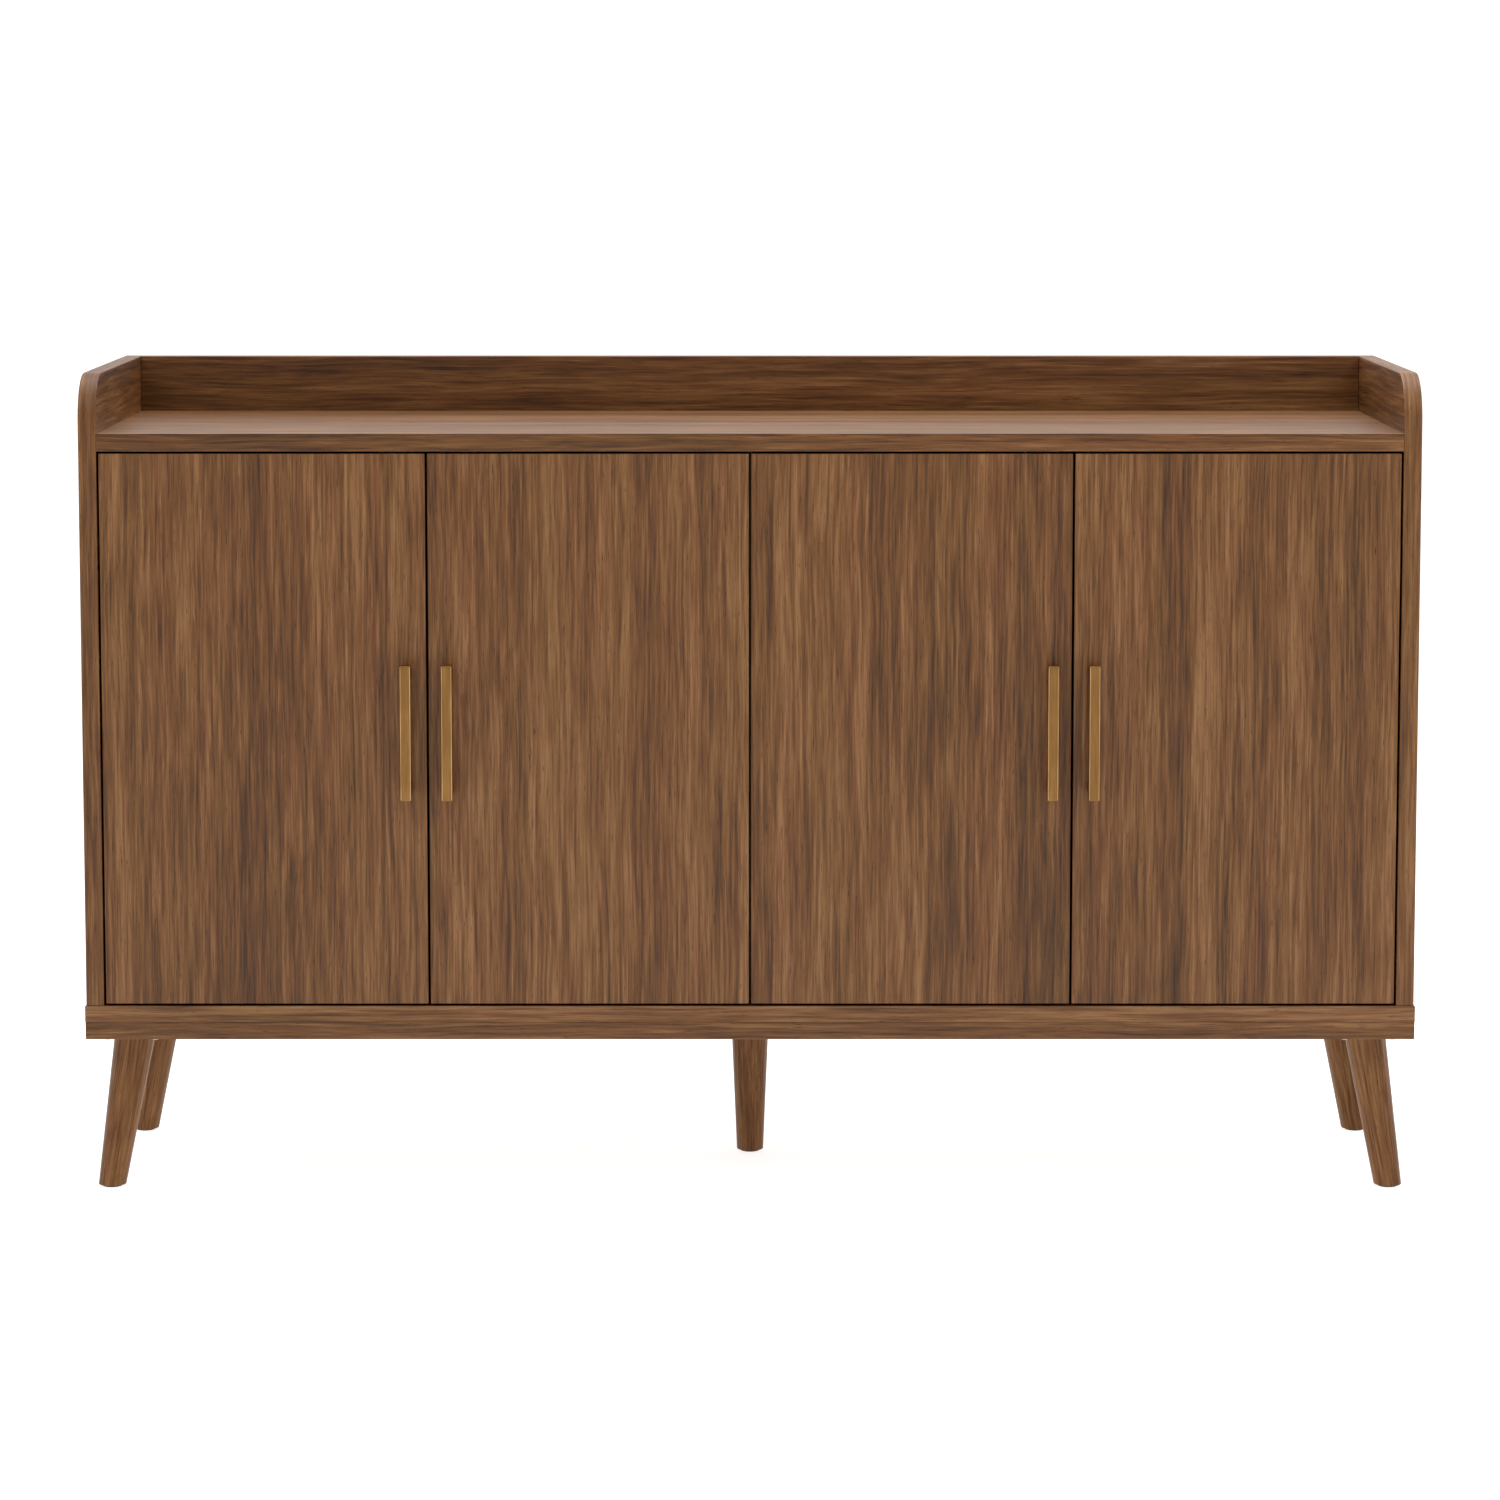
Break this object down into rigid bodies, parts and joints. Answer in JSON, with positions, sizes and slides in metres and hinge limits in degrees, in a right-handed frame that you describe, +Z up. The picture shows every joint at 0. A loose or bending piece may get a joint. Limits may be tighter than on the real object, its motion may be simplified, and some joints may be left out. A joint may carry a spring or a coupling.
{
  "type": "sideboard buffet",
  "caption": "Sideboard buffet with a raised gallery round the top, hinged doors with square bar handles, shelves inside and splayed tapered legs.",
  "frame": {"origin": "on the floor under the middle of the whole object's box, handles included", "axes": "+X to the right along the width, +Y to the back, +Z up; the doors face -Y"},
  "size_m": [1.5, 0.428, 0.93],
  "materials": {
    "walnut": "satin walnut veneer",
    "brass": "brushed",
    "nickel_steel": "nickel plated",
    "zinc_steel": "zinc plated",
    "black_plastic": "moulded",
    "hardboard": "printed hardboard",
    "beech": "plain"
  },
  "bodies": {
    "carcass": {"back_panel_screws": "zinc_steel", "back_upstand": "walnut", "base_board": "walnut", "base_centre_rail": "walnut", "base_front_rail": "walnut", "base_left_rail": "walnut", "base_rear_rail": "walnut", "base_right_rail": "walnut", "cam_bolts": "zinc_steel", "cam_nuts": "zinc_steel", "carcass_screws": "zinc_steel", "centre_leg": "walnut", "centre_partition": "walnut", "door_catches": "black_plastic", "dowels": "beech", "fitting_screws": "zinc_steel", "foot_glides": "black_plastic", "frame_screws": "zinc_steel", "front_left_leg": "walnut", "front_right_leg": "walnut", "hinge_arms": "nickel_steel", "hinge_plates": "nickel_steel", "left_back_panel": "hardboard", "left_shelf": "walnut", "left_side_panel": "walnut", "leg_bolts": "zinc_steel", "leg_plate_screws": "zinc_steel", "leg_plates": "zinc_steel", "rear_left_leg": "walnut", "rear_right_leg": "walnut", "right_back_panel": "hardboard", "right_shelf": "walnut", "right_side_panel": "walnut", "shelf_pins": "zinc_steel", "top_panel": "walnut"},
    "door_1": {"door_1_handle": "brass", "door_1_hinge_cups": "nickel_steel", "door_1_hinge_pins": "nickel_steel", "door_1_panel": "walnut", "door_1_screws": "nickel_steel", "door_1_strike_plate": "nickel_steel"},
    "door_2": {"door_2_handle": "brass", "door_2_hinge_cups": "nickel_steel", "door_2_hinge_pins": "nickel_steel", "door_2_panel": "walnut", "door_2_screws": "nickel_steel", "door_2_strike_plate": "nickel_steel"},
    "door_3": {"door_3_handle": "brass", "door_3_hinge_cups": "nickel_steel", "door_3_hinge_pins": "nickel_steel", "door_3_panel": "walnut", "door_3_screws": "nickel_steel", "door_3_strike_plate": "nickel_steel"},
    "door_4": {"door_4_handle": "brass", "door_4_hinge_cups": "nickel_steel", "door_4_hinge_pins": "nickel_steel", "door_4_panel": "walnut", "door_4_screws": "nickel_steel", "door_4_strike_plate": "nickel_steel"}
  },
  "joints": [
    {"name": "door_1_swing", "type": "hinge", "parent": "carcass", "child": "door_1", "pos_m": [-0.707, -0.1787, 0.5315], "axis": [0, 0, -1], "range_deg": [0, 100]},
    {"name": "door_2_swing", "type": "hinge", "parent": "carcass", "child": "door_2", "pos_m": [-0.02025, -0.1787, 0.5315], "axis": [0, 0, 1], "range_deg": [0, 85]},
    {"name": "door_3_swing", "type": "hinge", "parent": "carcass", "child": "door_3", "pos_m": [0.02025, -0.1787, 0.5315], "axis": [0, 0, -1], "range_deg": [0, 85]},
    {"name": "door_4_swing", "type": "hinge", "parent": "carcass", "child": "door_4", "pos_m": [0.707, -0.1787, 0.5315], "axis": [0, 0, 1], "range_deg": [0, 100]}
  ]
}
